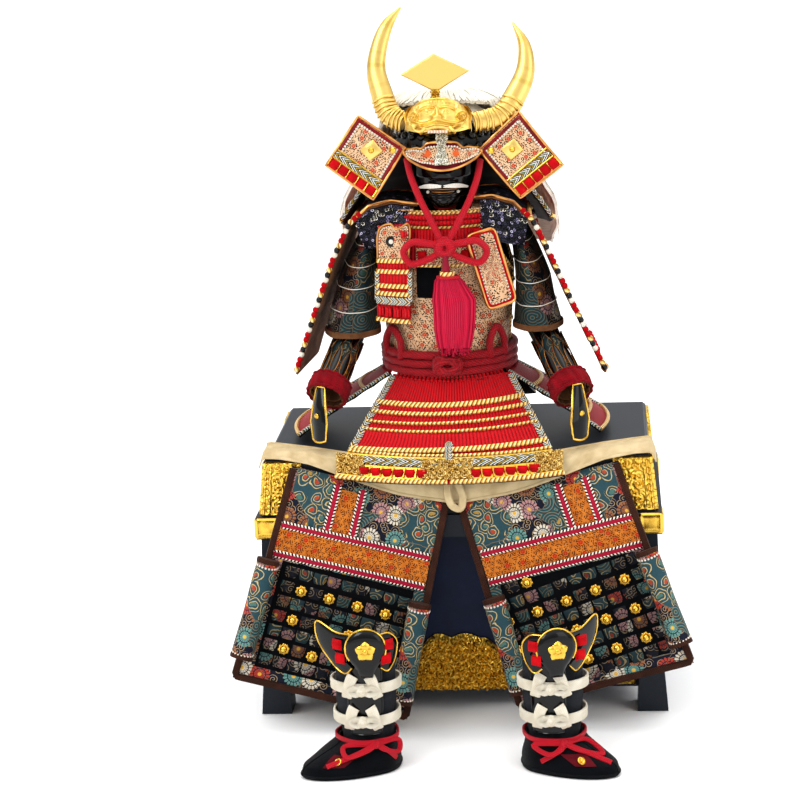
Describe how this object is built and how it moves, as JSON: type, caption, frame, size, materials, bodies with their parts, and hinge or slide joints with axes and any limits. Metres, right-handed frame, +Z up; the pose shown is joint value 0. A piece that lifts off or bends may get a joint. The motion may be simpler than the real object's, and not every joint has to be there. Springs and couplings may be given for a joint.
{
  "type": "samurai armour on an armour chest and a stand",
  "caption": "Display suit of lamellar armour seated on its lacquered chest: horned helmet, half mask, laced cuirass and skirts, brocade sleeves, thigh guards, shin guards, boots.",
  "frame": {"origin": "under the middle of the bounding box, on the floor", "axes": "+Z up, the armour faces -Y, +X to the viewer's right"},
  "size_m": [0.4764, 0.4284, 0.7326],
  "materials": {
    "chest_lacquer": "satin",
    "gilt_metal": "satin",
    "stand_wood": "smooth",
    "black_lacquer": "gloss",
    "red_lacing": "laced silk",
    "printed_leather": "printed",
    "orange_leather": "printed",
    "pale_gilt": "satin",
    "white_hair": "hair",
    "crimson_cord": "braided",
    "silk_tassel": "silk",
    "dark_rope": "braided",
    "cream_cotton": "matt",
    "brocade": "brocade",
    "cuff_cloth": "padded",
    "black_velvet": "velvet"
  },
  "bodies": {
    "root": {"chest_lid": "chest_lacquer", "chest_body": "chest_lacquer", "chest_ledge": "chest_lacquer", "chest_apron": "gilt_metal", "stand": "stand_wood", "helmet_bowl": "black_lacquer", "helmet_neck_guard": "red_lacing", "helmet_visor": "printed_leather", "helmet_lion": "gilt_metal", "helmet_crest_plate": "pale_gilt", "helmet_hair": "white_hair", "face_mask": "black_lacquer", "cord_bow": "crimson_cord", "cord_tassel": "silk_tassel", "cuirass_front": "printed_leather", "cuirass_back": "red_lacing", "chest_plate": "red_lacing", "waist_rope": "dark_rope", "skirt_front": "red_lacing", "skirt_back": "red_lacing", "sash": "cream_cotton", "helmet_wing_l": "printed_leather", "helmet_wing_r": "printed_leather", "helmet_horn_l": "pale_gilt", "helmet_horn_r": "pale_gilt", "helmet_cord_l": "crimson_cord", "helmet_cord_r": "crimson_cord", "shoulder_strap_l": "printed_leather", "shoulder_strap_r": "printed_leather", "breast_plate_l": "red_lacing", "breast_plate_r": "printed_leather", "skirt_side_l": "red_lacing", "skirt_side_r": "red_lacing", "shoulder_guard_l": "red_lacing", "shoulder_guard_r": "red_lacing", "sleeve_upper_l": "brocade", "sleeve_upper_r": "brocade", "sleeve_lower_l": "brocade", "sleeve_lower_r": "brocade", "cuff_l": "cuff_cloth", "cuff_r": "cuff_cloth", "hand_plate_l": "black_lacquer", "hand_plate_r": "black_lacquer", "thigh_guard_l": "brocade", "thigh_guard_r": "brocade", "thigh_band_l": "orange_leather", "thigh_band_r": "orange_leather", "thigh_strip_l": "orange_leather", "thigh_strip_r": "orange_leather", "thigh_roll_outer_l": "brocade", "thigh_roll_outer_r": "brocade", "thigh_roll_inner_l": "brocade", "thigh_roll_inner_r": "brocade", "knee_plate_l": "black_lacquer", "knee_plate_r": "black_lacquer", "shin_l": "black_lacquer", "shin_r": "black_lacquer", "boot_l": "black_velvet", "boot_r": "black_velvet"}
  },
  "joints": []
}
